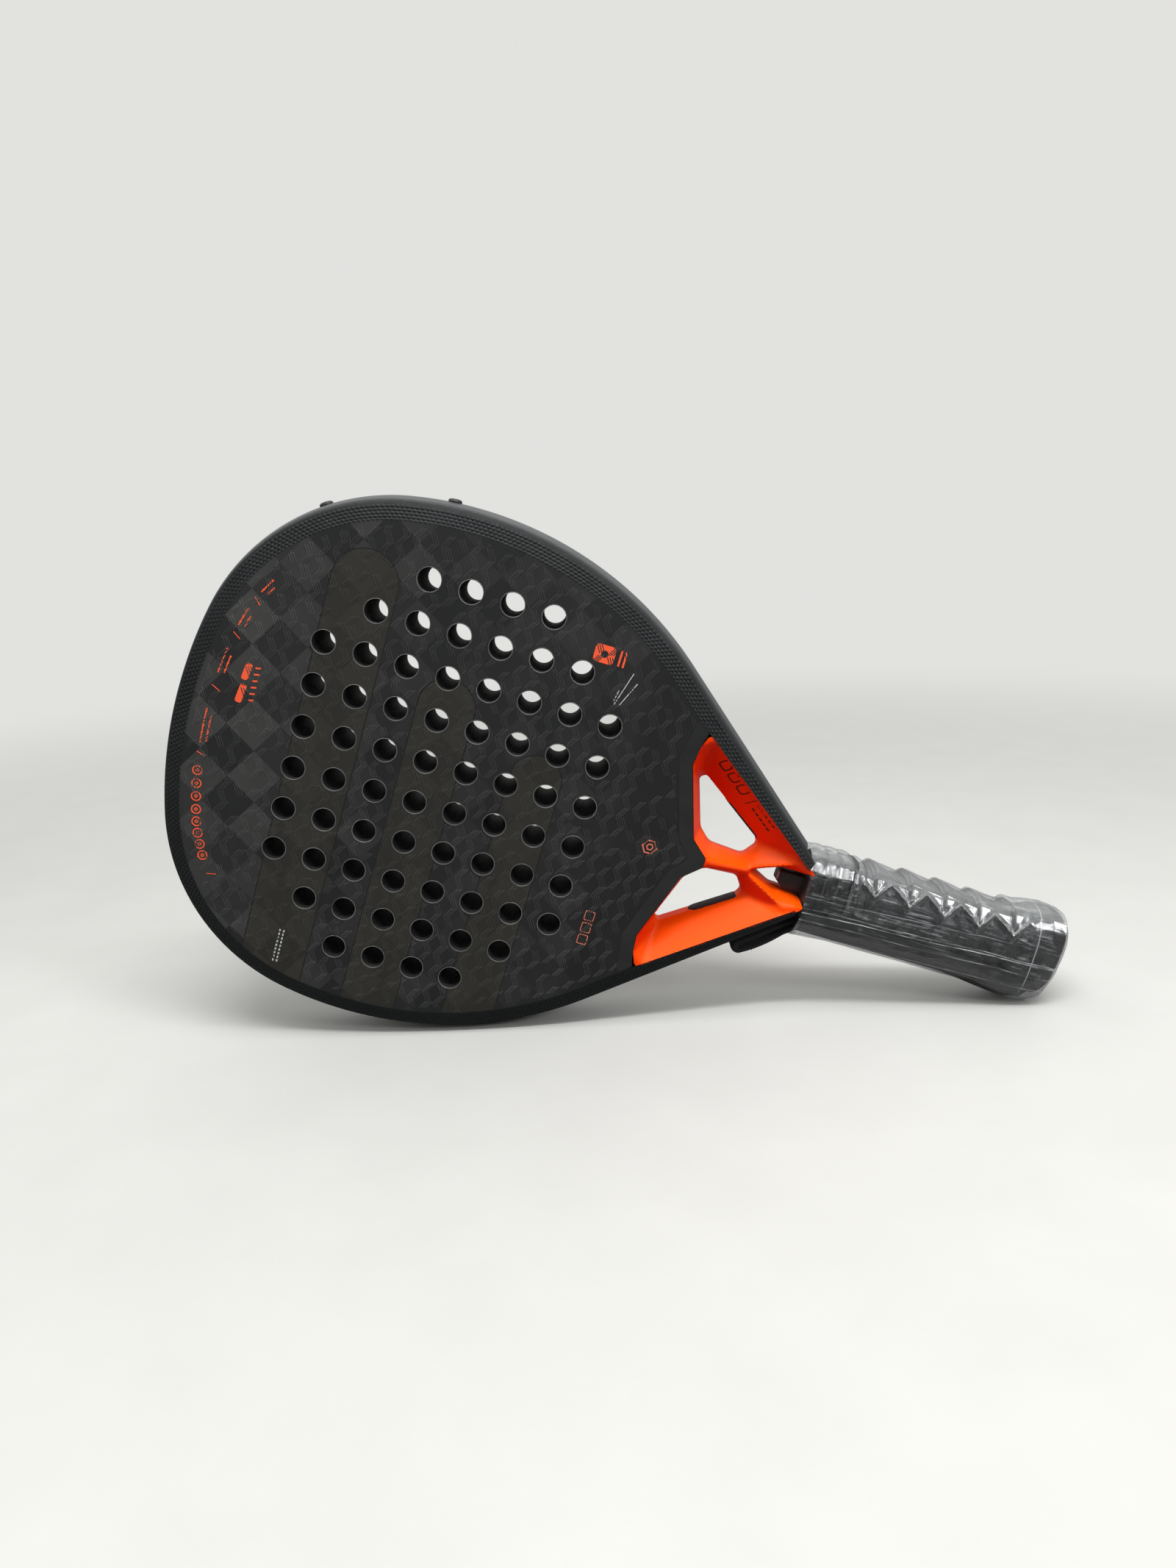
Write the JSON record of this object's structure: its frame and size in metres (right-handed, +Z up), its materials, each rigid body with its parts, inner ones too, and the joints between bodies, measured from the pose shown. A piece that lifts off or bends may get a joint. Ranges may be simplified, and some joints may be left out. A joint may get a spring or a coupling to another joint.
{
  "type": "padel racket",
  "caption": "Padel racket: perforated teardrop head with laminate faces on a foam core, tubular frame, open throat bridge, and a film-wrapped ridged grip with a wrist strap.",
  "frame": {"origin": "centre of the bounding box in plan, on the floor under the standing racket", "axes": "+Z up; the racket stands on its head's lower edge and on its butt, with the handle towards +X and the front face towards -Y"},
  "size_m": [0.447, 0.0384, 0.2624],
  "materials": {
    "frame_carbon": "satin black painted carbon with a bumped bevel band",
    "edge_guard": "smooth satin dark grey strip",
    "face_laminate": "matte checkered carbon laminate with embossed chevrons",
    "core_foam": "black closed-cell foam, fine grain",
    "throat_orange": "bright orange satin paint over a moulded shape",
    "damper_rubber": "soft black rubber",
    "black_plastic": "moulded black plastic, light grain",
    "weight_steel": "plain brushed steel",
    "screw_black": "blackened screw head, low sheen",
    "grip_wrap": "black tacky wrap, fine grain",
    "strap_webbing": "black ribbed woven webbing",
    "clear_film": "clear glossy crinkled plastic film"
  },
  "bodies": {
    "racket": {"head_frame": "frame_carbon", "edge_guard": "edge_guard", "front_face": "face_laminate", "rear_face": "face_laminate", "core_front_layer": "core_foam", "core_rear_layer": "core_foam", "throat_bridge": "throat_orange", "damper_upper": "damper_rubber", "damper_lower": "damper_rubber", "weight_carrier_upper": "black_plastic", "weight_carrier_lower": "black_plastic", "weight_bar_upper": "weight_steel", "weight_bar_lower": "weight_steel", "weight_screw_1": "screw_black", "weight_screw_2": "screw_black", "weight_screw_3": "screw_black", "weight_screw_4": "screw_black", "handle_tube": "frame_carbon", "handle_foam": "core_foam", "grip_sleeve": "damper_rubber", "grip_collar": "grip_wrap", "overgrip": "grip_wrap", "butt_cap": "black_plastic", "strap_plug": "black_plastic", "wrist_strap": "strap_webbing", "film_sleeve": "clear_film"},
    "strap_end": {"strap_loop": "strap_webbing"},
    "adjuster": {"strap_adjuster": "black_plastic"}
  },
  "joints": [
    {"name": "strap_swing", "type": "hinge", "parent": "racket", "child": "strap_end", "pos_m": [0.07895, 0, 0.04053], "axis": [0, -1, 0], "range_deg": [0, 40]},
    {"name": "adjuster_slide", "type": "slide", "parent": "racket", "child": "adjuster", "axis": [0.946, 0, -0.3241], "range_m": [-0.0025, 0]}
  ]
}
